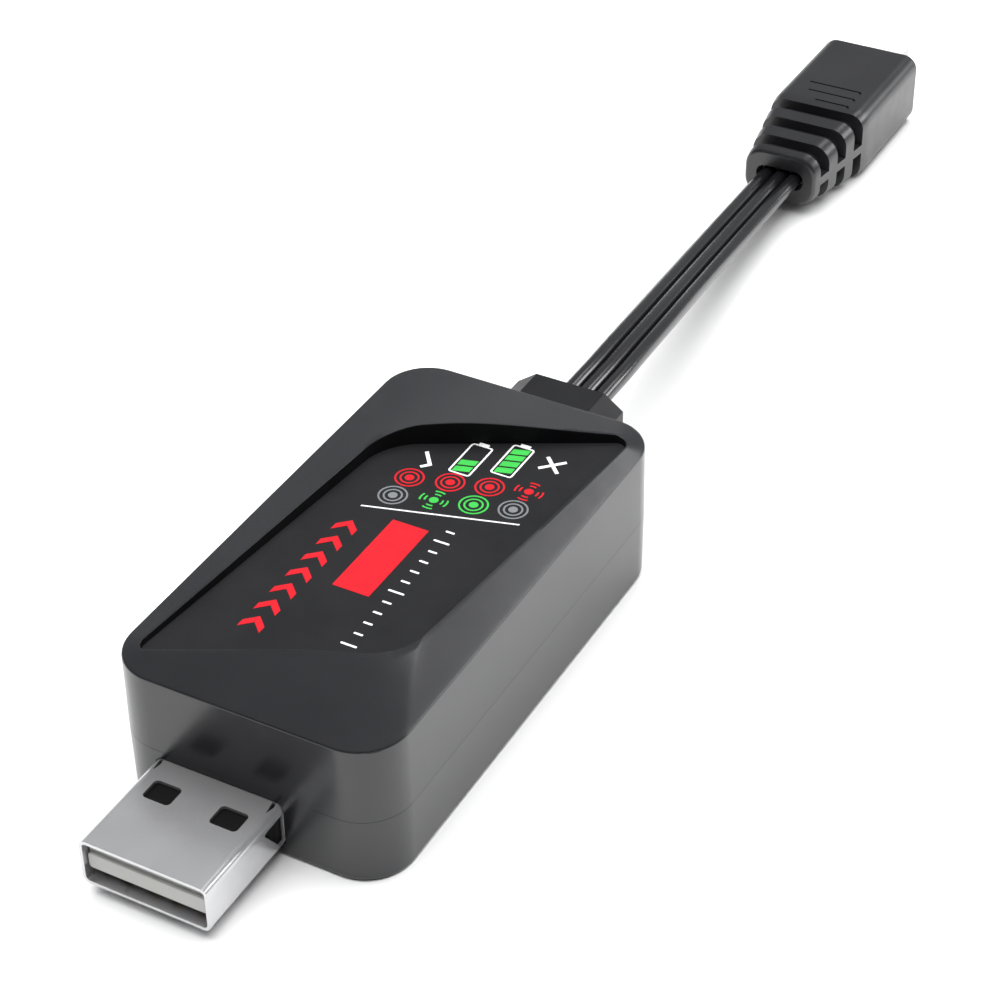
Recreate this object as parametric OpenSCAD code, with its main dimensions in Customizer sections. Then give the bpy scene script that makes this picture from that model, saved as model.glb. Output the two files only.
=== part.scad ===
// USB balance charger for small two-cell battery packs.
// X is the width, Y the length: the USB plug points to -Y and the cable leaves to +Y.
// Z is up, with the housing standing on z = 0 and its middle at x = 0, y = 0.

/* [Housing] */
// Width of the housing
body_w = 26; // [25:0.5:36]
// Length of the housing, without the plug and the cable
body_l = 49; // [46:0.5:70]
// Height of the side walls
body_h = 13.8; // [13.4:0.1:20]
// Radius of the upright corners
corner_r = 4.4; // [2:0.1:5]
// Thickness of the side walls
wall = 1.4; // [1.2:0.05:1.8]
// Thickness of the floor
floor_t = 1.2; // [1:0.05:1.8]
// Thickness of the roof under the label
roof_t = 1.2; // [0.8:0.05:1.8]
// Rise of the sloping rim for each millimetre inwards
rim_slope = 0.25; // [0.1:0.01:0.3]
// Height of the joint between the two shells
seam_z = 6.5; // [6:0.1:6.8]
// Height of the locating lip on the bottom shell
lip_h = 1; // [0.6:0.1:1.2]
// Width and depth of the groove that shows at the joint
seam_groove = 0.15; // [0.05:0.05:0.3]

/* [Label] */
// Thickness of the label film
label_t = 0.25; // [0.1:0.05:0.4]
// Gap between the label and the wall of its recess
label_gap = 0.1; // [0.05:0.05:0.3]
// Radius of the two tight corners of the recess
recess_tight_r = 0.9; // [0.5:0.1:2]
// Radius of the two wide corners of the recess
recess_wide_r = 6; // [3:0.5:8]

/* [USB plug] */
// Width of the plug shell
usb_w = 12; // [11:0.1:13]
// Height of the plug shell
usb_h = 4.5; // [4.2:0.1:4.7]
// Length of the plug shell outside the housing
usb_reach = 10.6; // [9:0.1:14]
// Length of the plug shell inside the housing
usb_tail = 8.2; // [7:0.1:9]
// Thickness of the shell sheet
usb_sheet = 0.3; // [0.25:0.01:0.35]
// Sideways place of the plug
usb_x = -2.4; // [-3:0.1:0]
// Height of the middle of the plug
usb_z = 3.45; // [3.4:0.05:3.6]
// Clearance round the plug in the housing wall
usb_gap = 0.1; // [0.05:0.01:0.2]

/* [Circuit board] */
// Thickness of the board
board_t = 1.2; // [0.8:0.1:1.6]
// Clearance round the board
board_gap = 0.4; // [0.2:0.05:0.6]
// Clear length left behind the board for the cable gland
board_rear_gap = 3.5; // [3:0.1:5]
// Radius of the posts that hold the board
post_r = 1.25; // [1.1:0.05:1.3]
// Radius of the pins on the lower posts
pin_r = 0.6; // [0.4:0.05:0.7]
// Clearance round each pin
pin_gap = 0.1; // [0.05:0.01:0.2]

/* [Status lights] */
// Diameter of each light
led_d = 3; // [2:0.1:3.2]
// Place of the red light along the housing, from its middle
led_y = 5; // [0:0.5:6]
// Spacing of the red light and the green light
led_pitch = 6; // [4.5:0.5:7]
// Clearance round each light in the wall
led_gap = 0.1; // [0.05:0.05:0.2]

/* [Cable] */
// Diameter of each insulated wire
wire_d = 1.55; // [1.2:0.05:1.6]
// Spacing of the three wires
wire_pitch = 1.6; // [1.6:0.05:1.8]
// Diameter of the copper core
core_d = 0.8; // [0.5:0.05:0.9]
// Width of the cable gland
gland_w = 10.8; // [10:0.1:12]
// Height of the cable gland
gland_h = 6.4; // [6:0.1:7]
// Length of the cable gland outside the housing
gland_l = 3.6; // [3:0.1:3.6]

/* [Battery connector] */
// Width of the connector body
conn_w = 11.5; // [11:0.1:13]
// Height of the connector body
conn_h = 8.2; // [7.4:0.1:8.8]
// Length of the connector body
conn_l = 26.5; // [25:0.1:32]
// Width of the connector at the cable end
conn_rear_w = 8.3; // [8:0.1:9.5]
// Height of the connector at the cable end
conn_rear_h = 5.8; // [5.4:0.1:7]
// Length of the tapering part
taper_l = 11.4; // [11.4:0.1:13]
// Width of each flexing slot
slot_w = 1.8; // [1:0.1:2]
// Spacing of the flexing slots
slot_pitch = 3.55; // [3.2:0.05:3.6]
// Depth of the flexing slots
slot_d = 1.1; // [0.6:0.1:1.2]
// Width of the white nose
nose_w = 4.8; // [4.8:0.1:6]
// Height of the white nose
nose_h = 3.9; // [3:0.1:4.2]
// Length of the nose in front of the body
nose_reach = 6; // [2:0.1:6.5]

/* [Hidden] */
$fn = 64;
// Overshoot of a cutting shape past the face that it cuts
cut = 1;

// Housing
inner_w = body_w - 2 * wall;
inner_l = body_l - 2 * wall;
inner_r = corner_r - wall;
front_y = -body_l / 2;
rear_y = body_l / 2;
recess_z = body_h - label_t;
ceiling_z = recess_z - roof_t;
crest_z = body_h + rim_slope * body_w / 2;
lip_t = wall * 0.45;
lip_gap = 0.05;
// Distances of the label recess's corners from the sides and from the ends
recess_insets = [[1.7, 2.1], [4.5, 10], [1.6, 2.5], [5, 12.8]];
// Corners of the label recess: front left, front right, rear right, rear left
recess_corners = [
    [-body_w / 2 + recess_insets[0][0], front_y + recess_insets[0][1]],
    [body_w / 2 - recess_insets[1][0], front_y + recess_insets[1][1]],
    [body_w / 2 - recess_insets[2][0], rear_y - recess_insets[2][1]],
    [-body_w / 2 + recess_insets[3][0], rear_y - recess_insets[3][1]]
];
recess_radii = [recess_tight_r, recess_wide_r, recess_tight_r, recess_wide_r];
corner_steps = 12;

// Plug
usb_r = 0.7;
// Slit beside the top plate and slanting notch in the side, both next to the housing
slit_inset = 0.65;
slit_w = 0.3;
slit_l = 1.2;
slit_foot = 0.9;
notch_outline = [[0, 1.3], [-2.8, 1.3], [-0.6, -1.7], [0, -1.7]];
notch_reach = 0.35;
usb_front = front_y - usb_reach;
usb_rear = front_y + usb_tail;
usb_top = usb_z + usb_h / 2;
relief_d = 0.35;
insulator_gap = 0.1;
insulator_w = usb_w - 2 * usb_sheet - 2 * insulator_gap;
insulator_h = usb_h - 2 * usb_sheet - 2 * insulator_gap;
insulator_r = usb_r - usb_sheet - insulator_gap;
insulator_top = usb_z + insulator_h / 2;
tongue_h = 1.8;
// Brim on the front of the tongue
brim_h = 2.75;
brim_t = 0.6;
tongue_setback = 0.4;
tongue_front = usb_front + tongue_setback;
tongue_root = front_y - 1.6;
contact_w = 1;
contact_t = 0.2;
contact_tail_w = 0.6;
contact_places = [-3.5, -1, 1, 3.5];
contact_fronts = [0.7, 1.7, 1.7, 0.7];
contact_z = insulator_top - tongue_h - contact_t;
tail_y = usb_rear + 0.8;
leg_w = 1.6;
leg_y = usb_rear - 2.5;
leg_rise = 0.6;
leg_gap = 0.2;
window_w = 2.6;
window_l = 2.15;
window_x = 3.15;
window_y = usb_front + 6.35;

// Board
board_z = usb_top;
board_top = board_z + board_t;
board_w = inner_w - 2 * board_gap;
board_front = -inner_l / 2 + board_gap;
board_rear = inner_l / 2 - board_rear_gap;
board_r = inner_r - board_gap;
// Space between the side of the plug and the posts beside it
post_clear = 0.25;
post_x = usb_w / 2 - usb_x + post_clear + post_r;
post_inset = 1.3;
post_front = board_front + post_r + post_inset;
post_rear = board_rear - post_r - post_inset;
pin_rise = 0.9;
pin_hole_rise = 1.2;
// Play of the contact tails, the copper cores and the light pins in their board holes
tail_play = 0.3;
core_play = 0.2;
led_pin_play = 0.4;
solder_r = 0.75;
solder_h = 0.45;
solder_taper = 0.7;

// Parts on the board
chip_w = 3.9;
chip_l = 4.9;
chip_t = 1.4;
chip_lift = 0.1;
lead_w = 0.4;
lead_t = 0.2;
lead_pitch = 1.27;
lead_reach = 1;
chip_places = [[-3.6, front_y + 15], [-2.6, front_y + 24.5]];
coil_place = [6.7, front_y + 10.9];
drum_r = 3.4;
drum_core_r = 1.6;
drum_flange = 0.8;
drum_h = 4;
coil_inset = 0.4;
can_place = [6.6, front_y + 17.3];
can_r = 2.5;
can_base = 0.7;
can_h = 4.9;
can_margin = 0.3;
can_shoulder = 0.2;
can_shoulder_h = 1.2;
diode_places = [[-8.9, front_y + 12], [-8.9, front_y + 18.5]];
transistor_places = [[3.8, front_y + 25.5], [8.2, front_y + 25.5]];
transistor_size = [3, 1.5];
transistor_t = 1;
transistor_pins = [[-0.95, -1.1], [0.95, -1.1], [0, 1.1]];
transistor_pin_size = [0.5, 0.8];
bleed_places = [[3.8, front_y + 31.9], [8.2, front_y + 31.9]];

// Cable and gland
cable_x = 1.95;
cable_z = 10.2;
gland_chamfer = [1.9, 1.4];
flange_h_max = 4.2;
elbow_run = 1.9;
neck_w = 7.4;
neck_h = 3.6;
neck_gap = 0.1;
wire_gap = 0.02;
flange_w = 9.2;
flange_h = min(flange_h_max, 2 * (ceiling_z - neck_gap / 2 - cable_z));
flange_t = 2.2;
gland_end = rear_y + gland_l;
elbow_r = 2;
elbow_y = rear_y - wall - flange_t - elbow_run;
drop_y = elbow_y - elbow_r;
wire_foot = board_top + 0.8;
core_foot = board_z - 0.6;

// Status lights
led_places = [led_y, led_y + led_pitch];
led_z = 9.3;
led_l = 5.3;
led_back = -body_w / 2 + led_l;
led_flange_d = 1.25;
led_flange_t = 1;
led_pin = 0.5;
led_pin_gap = 1.27;
led_pin_reach = 1.2;

// Connector
conn_x = -2.2;
conn_rear = 86.6;
conn_front = conn_rear + conn_l;
conn_z = 4.1;
conn_r = 1.65;
conn_rear_r = 2.2;
slot_count = 3;
first_slot = 1.3;
web_h = 1;
pocket_w = 5.4;
pocket_h = 2.2;
pocket_r = 1;
pocket_d = 1.2;
pocket_end = conn_rear + pocket_d;
nose_depth = 9;
nose_seat = conn_front - nose_depth;
socket_w = 0.9;
socket_d = 6;
socket_end = conn_front + nose_reach - socket_d;
socket_tube_l = 4;
socket_bore = 0.6;
mark_w = 0.25;
mark_d = 0.2;
mark_y = conn_rear + 11.4;
mark_pitch = 1.85;
mark_end = conn_x + 2.95;
mark_lengths = [3.8, 5.4, 6];
slice_t = 0.01;

// Middle line of the cable, from the gland to the connector
cable_route = [
    [1.95, 28.1, 10.2], [1.95, 30, 10.2], [1.9, 33, 10.2], [1.9, 36, 10.1], [1.6, 40, 9.8],
    [1.2, 45, 9.2], [0.65, 50, 8.4], [0.05, 54.9, 7.55], [-0.55, 59.7, 6.65], [-1.1, 64.5, 5.85],
    [-1.55, 69.2, 5.15], [-1.9, 73.9, 4.65], [-2.1, 78.7, 4.3], [-2.2, 81.6, 4.15],
    [-2.2, 84.5, 4.1], [-2.2, 86.2, 4.1], [-2.2, 87.8, 4.1]
];

// ---- shared shapes ----

// Rectangle with round corners, centred
module round_rect(w, l, r) {
    square([w - 2 * r, l], center = true);
    square([w, l - 2 * r], center = true);
    for (x = [-1, 1], y = [-1, 1])
        translate([x * (w / 2 - r), y * (l / 2 - r)]) circle(r);
}

// Outline drawn across the plug axis, given depth along Y from y
module along_y(y, depth) {
    translate([0, y + depth, 0])
        rotate([90, 0, 0])
            linear_extrude(depth) children();
}

// Block centred on x and given by its lowest corner otherwise
module block(x, y, z, size) {
    translate([x - size[0] / 2, y, z]) cube(size);
}

// Corner i of an outline moved inwards by d, for outlines that run anticlockwise
function unit(v) = v / norm(v);
function inward(v) = [-unit(v)[1], unit(v)[0]];
function next(points, i) = points[(i + 1) % len(points)];
function last(points, i) = points[(i + len(points) - 1) % len(points)];
function moved_in(points, i, d) =
    let (
        a = inward(points[i] - last(points, i)),
        b = inward(next(points, i) - points[i])
    )
    points[i] + (a + b) * d / (1 + a * b);
function inset(points, d) = [for (i = [0:len(points) - 1]) moved_in(points, i, d)];

// Outline with each corner i rounded by radii[i]
function turned(v, a) = [v[0] * cos(a) - v[1] * sin(a), v[0] * sin(a) + v[1] * cos(a)];
function round_corner(points, i, r, steps) =
    let (
        u = unit(points[i] - last(points, i)),
        v = unit(next(points, i) - points[i]),
        turn = acos(u * v),
        start = points[i] - u * r * tan(turn / 2),
        middle = start + inward(u) * r
    )
    [for (k = [0:steps]) middle + turned(start - middle, turn * k / steps)];
function rounded(points, radii, steps) = [
    for (i = [0:len(points) - 1], p = round_corner(points, i, radii[i], steps)) p
];

// Tube swept along a route, with its rings square to the route
function heading(route, i) =
    unit(route[min(i + 1, len(route) - 1)] - route[max(i - 1, 0)]);
function ring(centre, along, r, sides) =
    let (
        side = unit(cross(along, [0, 0, 1])),
        up = cross(side, along)
    )
    [for (k = [0:sides - 1])
        centre + r * (side * cos(360 * k / sides) + up * sin(360 * k / sides))];

module tube(route, d, sides = 8) {
    rings = len(route);
    points = [for (i = [0:rings - 1], p = ring(route[i], heading(route, i), d / 2, sides)) p];
    sleeves = [
        for (i = [0:rings - 2], k = [0:sides - 1])
            let (a = i * sides + k, b = i * sides + (k + 1) % sides)
                [a, a + sides, b + sides, b]
    ];
    first_end = [for (k = [0:sides - 1]) k];
    last_end = [for (k = [sides - 1:-1:0]) (rings - 1) * sides + k];
    polyhedron(points, concat(sleeves, [first_end, last_end]), convexity = 4);
}

function wire_x(i) = (i - 1) * wire_pitch;

// ---- housing ----

// What rises above the sloping rim, to be cut off
module above_rim() {
    top = crest_z + cut;
    low = body_h - rim_slope * cut;
    long = body_l + 2 * cut;
    wide = body_w + 2 * cut;
    along_y(-long / 2, long)
        polygon([
            [-wide / 2, low], [0, crest_z], [wide / 2, low], [wide / 2, top], [-wide / 2, top]
        ]);
    ridge_z = body_h + rim_slope * body_l / 2;
    translate([-wide / 2, 0, 0])
        rotate([90, 0, 90])
            linear_extrude(wide)
                polygon([
                    [-long / 2, low], [0, ridge_z], [long / 2, low],
                    [long / 2, ridge_z + cut], [-long / 2, ridge_z + cut]
                ]);
    for (x = [-1, 1], y = [-1, 1])
        at_corner(x, y)
            difference() {
                translate([0, 0, low]) cube([corner_r + cut, corner_r + cut, top - low]);
                translate([0, 0, low])
                    cylinder(h = rim_slope * (corner_r + cut), r1 = corner_r + cut, r2 = 0);
            }
}

// Puts what is drawn in the first quadrant at the housing corner on the x and y side given
module at_corner(x, y) {
    translate([x * (body_w / 2 - corner_r), y * (body_l / 2 - corner_r), 0])
        mirror([x < 0 ? 1 : 0, 0, 0])
            mirror([0, y < 0 ? 1 : 0, 0])
                children();
}

module bottom_housing() {
    color("#26282b")
    difference() {
        union() {
            linear_extrude(seam_z) round_rect(body_w, body_l, corner_r);
            linear_extrude(seam_z + lip_h)
                round_rect(inner_w + 2 * lip_t, inner_l + 2 * lip_t, inner_r + lip_t);
            gland_rest();
        }
        difference() {
            translate([0, 0, floor_t])
                linear_extrude(seam_z + lip_h) round_rect(inner_w, inner_l, inner_r);
            for (x = [-1, 1], y = [post_front, post_rear])
                translate([x * post_x, y, 0]) {
                    cylinder(h = board_z, r = post_r);
                    cylinder(h = board_top + pin_rise, r = pin_r);
                }
        }
        // Hollow in the floor that takes the underside of the plug
        block(
            usb_x, front_y + wall - cut, floor_t - relief_d,
            [usb_w + 2 * usb_gap, usb_tail + 2 * cut, relief_d + cut]
        );
        // Mouth for the plug
        along_y(front_y - cut, wall + 2 * cut)
            translate([usb_x, usb_z])
                round_rect(usb_w + 2 * usb_gap, usb_h + 2 * usb_gap, usb_r + usb_gap);
    }
}

// Part of the rear wall under the gland's neck
module gland_rest() {
    rest_top = cable_z - neck_h / 2 - neck_gap;
    block(cable_x, rear_y - wall, seam_z, [neck_w, wall, rest_top - seam_z]);
}

module top_housing() {
    color("#2b2d31")
    difference() {
        union() {
            difference() {
                translate([0, 0, seam_z])
                    linear_extrude(crest_z - seam_z) round_rect(body_w, body_l, corner_r);
                translate([0, 0, seam_z - cut])
                    linear_extrude(ceiling_z - seam_z + cut) round_rect(inner_w, inner_l, inner_r);
            }
            for (x = [-1, 1], y = [post_front, post_rear])
                translate([x * post_x, y, board_top])
                    cylinder(h = ceiling_z - board_top + roof_t / 2, r = post_r);
        }
        above_rim();
        // Room for the lip of the bottom shell
        translate([0, 0, seam_z - cut])
            linear_extrude(lip_h + lip_gap + cut)
                round_rect(
                    inner_w + 2 * (lip_t + lip_gap), inner_l + 2 * (lip_t + lip_gap),
                    inner_r + lip_t + lip_gap
                );
        // Fine groove round the joint
        translate([0, 0, seam_z - cut])
            linear_extrude(seam_groove + cut)
                difference() {
                    round_rect(body_w + cut, body_l + cut, corner_r + cut / 2);
                    round_rect(
                        body_w - 2 * seam_groove, body_l - 2 * seam_groove,
                        corner_r - seam_groove
                    );
                }
        // Label recess
        translate([0, 0, recess_z])
            linear_extrude(crest_z)
                polygon(rounded(recess_corners, recess_radii, corner_steps));
        // Way for the gland's neck, open to the joint
        block(
            cable_x, rear_y - wall - cut, seam_z - cut,
            [neck_w + 2 * neck_gap, wall + 2 * cut, cable_z + neck_h / 2 + neck_gap - seam_z + cut]
        );
        // Holes for the status lights
        for (y = led_places)
            translate([-body_w / 2 - cut, y, led_z])
                rotate([0, 90, 0]) cylinder(h = wall + 2 * cut, d = led_d + 2 * led_gap);
        // Holes in the posts for the pins of the lower posts
        for (x = [-1, 1], y = [post_front, post_rear])
            translate([x * post_x, y, board_top - cut])
                cylinder(h = pin_hole_rise + cut, r = pin_r + pin_gap);
    }
}

module label() {
    color("#3a3b3e")
    translate([0, 0, recess_z])
        linear_extrude(label_t)
            polygon(rounded(
                inset(recess_corners, label_gap), [for (r = recess_radii) r - label_gap],
                corner_steps
            ));
}

// ---- plug ----

module usb_shell() {
    color("#c9cacc")
    difference() {
        union() {
            along_y(usb_front, usb_rear - usb_front)
                translate([usb_x, usb_z]) round_rect(usb_w, usb_h, usb_r);
            // Legs that are soldered into the board
            for (x = [-1, 1])
                block(
                    usb_x + x * (usb_w - usb_sheet) / 2, leg_y, usb_z,
                    [usb_sheet, leg_w, board_top + leg_rise - usb_z]
                );
        }
        along_y(usb_front - cut, usb_rear - usb_front + 2 * cut)
            translate([usb_x, usb_z])
                round_rect(usb_w - 2 * usb_sheet, usb_h - 2 * usb_sheet, usb_r - usb_sheet);
        // Two windows above and two below
        for (x = [-window_x, window_x])
            block(usb_x + x, window_y, usb_z - usb_h, [window_w, window_l, 2 * usb_h]);
        for (x = [-1, 1])
            translate([usb_x + x * usb_w / 2, front_y, usb_z]) {
                // Slit beside the top plate, next to the housing
                block(-x * slit_inset, -slit_l, slit_foot, [slit_w, slit_l, usb_h]);
                // Slanting notch in the side, next to the housing
                translate([-usb_sheet - notch_reach, 0, 0])
                    rotate([90, 0, 90])
                        linear_extrude(2 * (usb_sheet + notch_reach)) polygon(notch_outline);
            }
    }
}

module usb_insulator() {
    color("#b9bab6")
    difference() {
        translate([usb_x, 0, usb_z]) {
            along_y(tongue_front, brim_t) upper_part(brim_h);
            along_y(tongue_front, tongue_root - tongue_front) upper_part(tongue_h);
            along_y(tongue_root, usb_rear - tongue_root - tongue_setback)
                round_rect(insulator_w, insulator_h, insulator_r);
        }
        for (x = contact_places)
            block(
                usb_x + x, tongue_root - cut, contact_z,
                [contact_w, usb_rear - tongue_root + 2 * cut, contact_t]
            );
    }
}

// Upper part, of height h, of the insulator's outline
module upper_part(h) {
    intersection() {
        round_rect(insulator_w, insulator_h, insulator_r);
        translate([0, (insulator_h - h) / 2]) square([insulator_w, h], center = true);
    }
}

module usb_contacts() {
    color("#d8b45a")
    for (i = [0:len(contact_places) - 1])
        translate([usb_x + contact_places[i], 0, 0]) {
            start = tongue_front + contact_fronts[i];
            block(0, start, contact_z, [contact_w, tail_y - start, contact_t]);
            block(
                0, tail_y - contact_t, contact_z,
                [contact_tail_w, contact_t, board_top + leg_rise - contact_z]
            );
        }
}

// ---- board and what is on it ----

module circuit_board() {
    color("#1f5a3a")
    difference() {
        translate([0, (board_front + board_rear) / 2, board_z])
            linear_extrude(board_t)
                round_rect(board_w, board_rear - board_front, board_r);
        translate([0, 0, board_z - cut]) {
            for (x = [-1, 1], y = [post_front, post_rear])
                translate([x * post_x, y, 0])
                    cylinder(h = board_t + 2 * cut, r = pin_r + pin_gap);
            for (x = contact_places)
                translate([usb_x + x, tail_y - contact_t / 2, 0])
                    cylinder(h = board_t + 2 * cut, d = contact_tail_w + tail_play);
            for (i = [0:2])
                translate([cable_x + wire_x(i), drop_y, 0])
                    cylinder(h = board_t + 2 * cut, d = core_d + core_play);
            for (y = led_places, side = [-1, 1])
                translate([led_pin_x(), y + side * led_pin_gap, 0])
                    cylinder(h = board_t + 2 * cut, d = led_pin + led_pin_play);
        }
        for (x = [-1, 1])
            block(
                usb_x + x * (usb_w - usb_sheet) / 2, leg_y - leg_gap, board_z - cut,
                [usb_sheet + 2 * leg_gap, leg_w + 2 * leg_gap, board_t + 2 * cut]
            );
    }
}

// Body of a chip standing clear of the board on its leads
module chip_body(place) {
    translate([place[0], place[1], board_top + chip_lift])
        linear_extrude(chip_t) square([chip_w, chip_l], center = true);
}

module charge_controller() {
    color("#202124") chip_body(chip_places[0]);
}

module balance_controller() {
    color("#202124") chip_body(chip_places[1]);
}

module controller_leads() {
    knee = board_top + chip_lift + chip_t / 2;
    color("#c7c9cc")
    for (place = chip_places, side = [-1, 1], k = [-1.5:1:1.5])
        translate([place[0] + side * chip_w / 2, place[1] + k * lead_pitch, 0])
            mirror([side < 0 ? 1 : 0, 0, 0]) {
                translate([0, -lead_w / 2, knee - lead_t]) cube([lead_reach / 2, lead_w, lead_t]);
                translate([lead_reach / 2 - lead_t, -lead_w / 2, board_top])
                    cube([lead_t, lead_w, knee - board_top]);
                translate([lead_reach / 2 - lead_t, -lead_w / 2, board_top])
                    cube([lead_reach / 2 + lead_t, lead_w, lead_t]);
            }
}

// Drum-shaped ferrite with the winding between its flanges
module inductor_core() {
    color("#4a4b4f")
    translate([coil_place[0], coil_place[1], board_top]) {
        cylinder(h = drum_flange, r = drum_r);
        cylinder(h = drum_h, r = drum_core_r);
        translate([0, 0, drum_h - drum_flange]) cylinder(h = drum_flange, r = drum_r);
    }
}

module inductor_coil() {
    color("#b5673a")
    translate([coil_place[0], coil_place[1], board_top + drum_flange])
        difference() {
            cylinder(h = drum_h - 2 * drum_flange, r = drum_r - coil_inset);
            translate([0, 0, -cut]) cylinder(h = drum_h, r = drum_core_r);
        }
}

module bulk_capacitor() {
    color("#b9bcc2")
    translate([can_place[0], can_place[1], board_top]) {
        linear_extrude(can_base) square(2 * can_r + can_margin, center = true);
        cylinder(h = can_h - can_shoulder_h, r = can_r);
        cylinder(h = can_h, r = can_r - can_shoulder);
    }
}

// Small part with a metal cap at each end, lying along Y
module chip_part(place, size, cap) {
    translate([place[0], place[1], board_top]) {
        translate([0, 0, size[2] * 0.06])
            linear_extrude(size[2] * 0.88) square([size[0] * 0.94, size[1] - cap], center = true);
        for (y = [-1, 1])
            translate([0, y * (size[1] - cap) / 2, 0])
                linear_extrude(size[2]) square([size[0], cap], center = true);
    }
}

module rectifier_diodes() {
    color("#2a2b2d")
    for (place = diode_places)
        chip_part(place, [2.6, 4.6, 2.1], 0.5);
}

module balance_transistors() {
    color("#232427")
    for (place = transistor_places)
        translate([place[0], place[1], board_top]) {
            translate([0, 0, chip_lift])
                linear_extrude(transistor_t) square(transistor_size, center = true);
            for (p = transistor_pins)
                translate(p)
                    linear_extrude(transistor_t / 2) square(transistor_pin_size, center = true);
        }
}

module bleed_resistors() {
    color("#2e3a44")
    for (place = bleed_places)
        chip_part(place, [3.1, 6.3, 0.65], 0.6);
}

module chip_resistors() {
    color("#303236")
    for (x = [-5.6, -4, -2.4, -0.8], y = [30.1, 33.5])
        chip_part([x, front_y + y], [0.85, 1.6, 0.5], 0.3);
}

module ceramic_capacitors() {
    color("#b08a5c")
    for (p = [[0.4, 12.1], [-1, 19.9], [1.6, 18.5], [1.6, 21.9]])
        chip_part([p[0], front_y + p[1]], [1.25, 2, 1.1], 0.4);
}

// ---- status lights ----

function led_pin_x() = led_back + led_pin_reach;

// Round light lying along X, its domed end level with the outside of the wall
module led(y) {
    translate([-body_w / 2, y, led_z])
        rotate([0, 90, 0]) {
            translate([0, 0, led_d / 2]) {
                sphere(d = led_d);
                cylinder(h = led_l - led_d / 2, d = led_d);
            }
            translate([0, 0, led_l - led_flange_t])
                cylinder(h = led_flange_t, d = led_d * led_flange_d);
        }
}

module red_status_led() {
    color("#c23a35") led(led_places[0]);
}

module green_status_led() {
    color("#3fa35a") led(led_places[1]);
}

module led_leads() {
    color("#c7c9cc")
    for (y = led_places, side = [-1, 1])
        translate([0, y + side * led_pin_gap, 0]) {
            translate([led_back, -led_pin / 2, led_z - led_pin / 2])
                cube([led_pin_reach + led_pin / 2, led_pin, led_pin]);
            block(
                led_pin_x(), -led_pin / 2, core_foot, [led_pin, led_pin, led_z - core_foot]
            );
        }
}

// ---- cable and gland ----

module bevelled(w, h, bevel) {
    polygon([
        [-w / 2 + bevel[0], -h / 2], [w / 2 - bevel[0], -h / 2],
        [w / 2, -h / 2 + bevel[1]], [w / 2, h / 2 - bevel[1]],
        [w / 2 - bevel[0], h / 2], [-w / 2 + bevel[0], h / 2],
        [-w / 2, h / 2 - bevel[1]], [-w / 2, -h / 2 + bevel[1]]
    ]);
}

module cable_gland() {
    color("#25272a")
    difference() {
        translate([cable_x, 0, cable_z]) {
            along_y(rear_y, gland_l) bevelled(gland_w, gland_h, gland_chamfer);
            along_y(rear_y - wall - cut, wall + 2 * cut) square([neck_w, neck_h], center = true);
            along_y(rear_y - wall - flange_t, flange_t) square([flange_w, flange_h], center = true);
        }
        for (i = [0:2])
            translate([cable_x + wire_x(i), rear_y - wall - flange_t - cut, cable_z])
                rotate([-90, 0, 0])
                    cylinder(h = flange_t + wall + gland_l + 2 * cut, d = wire_d + 2 * wire_gap);
    }
}

// Insulated wires from the gland's outer face down to the board
module inner_wires() {
    color("#1c1d1f")
    for (i = [0:2])
        translate([cable_x + wire_x(i), 0, 0]) {
            translate([0, elbow_y, cable_z])
                rotate([-90, 0, 0]) cylinder(h = gland_end - elbow_y, d = wire_d);
            translate([0, elbow_y, cable_z - elbow_r])
                rotate([90, 0, 90])
                    rotate([0, 0, 90])
                        rotate_extrude(angle = 90) translate([elbow_r, 0]) circle(d = wire_d);
            translate([0, drop_y, wire_foot])
                cylinder(h = cable_z - elbow_r - wire_foot, d = wire_d);
        }
}

module wire_cores() {
    color("#c0703c")
    for (i = [0:2])
        translate([cable_x + wire_x(i), drop_y, core_foot])
            cylinder(h = wire_foot - core_foot, d = core_d);
}

// Solder cone on the board with its pin left out
module solder(x, y, up) {
    translate([x, y, up ? board_top : board_z])
        mirror([0, 0, up ? 0 : 1])
            difference() {
                cylinder(h = solder_h, r1 = solder_r, r2 = solder_r * solder_taper);
                translate([0, 0, -cut]) children();
            }
}

module solder_joints() {
    color("#aeb1b5") {
        for (i = [0:2])
            solder(cable_x + wire_x(i), drop_y, false)
                cylinder(h = 3 * cut, d = core_d);
        for (x = contact_places)
            solder(usb_x + x, tail_y - contact_t / 2, true)
                block(0, -contact_t / 2, 0, [contact_tail_w, contact_t, 3 * cut]);
        for (y = led_places, side = [-1, 1])
            solder(led_pin_x(), y + side * led_pin_gap, false)
                block(0, -led_pin / 2, 0, [led_pin, led_pin, 3 * cut]);
    }
}

module cable_wire(i) {
    color("#1c1d1f")
    tube([for (p = cable_route) p + [wire_x(i), 0, 0]], wire_d);
}

module cable_wire_left() {
    cable_wire(0);
}

module cable_wire_middle() {
    cable_wire(1);
}

module cable_wire_right() {
    cable_wire(2);
}

// ---- connector ----

// Thin slice of the connector's outer shape
module slice(y, w, h, r) {
    along_y(y, slice_t) translate([0, h / 2]) round_rect(w, h, r, $fn = 32);
}

// Outer shape of the connector, drawn smaller all round by d
module connector_outline(d) {
    rear_lift = (conn_h - conn_rear_h) / 2;
    knee = conn_rear + taper_l;
    $fn = 32;
    translate([conn_x, 0, d]) {
        hull() {
            translate([0, 0, rear_lift])
                slice(conn_rear, conn_rear_w - 2 * d, conn_rear_h - 2 * d, conn_rear_r - d / 2);
            slice(knee, conn_w - 2 * d, conn_h - 2 * d, conn_r - d / 4);
        }
        along_y(knee, conn_front - knee)
            translate([0, conn_h / 2 - d])
                round_rect(conn_w - 2 * d, conn_h - 2 * d, conn_r - d / 4);
    }
}

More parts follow.
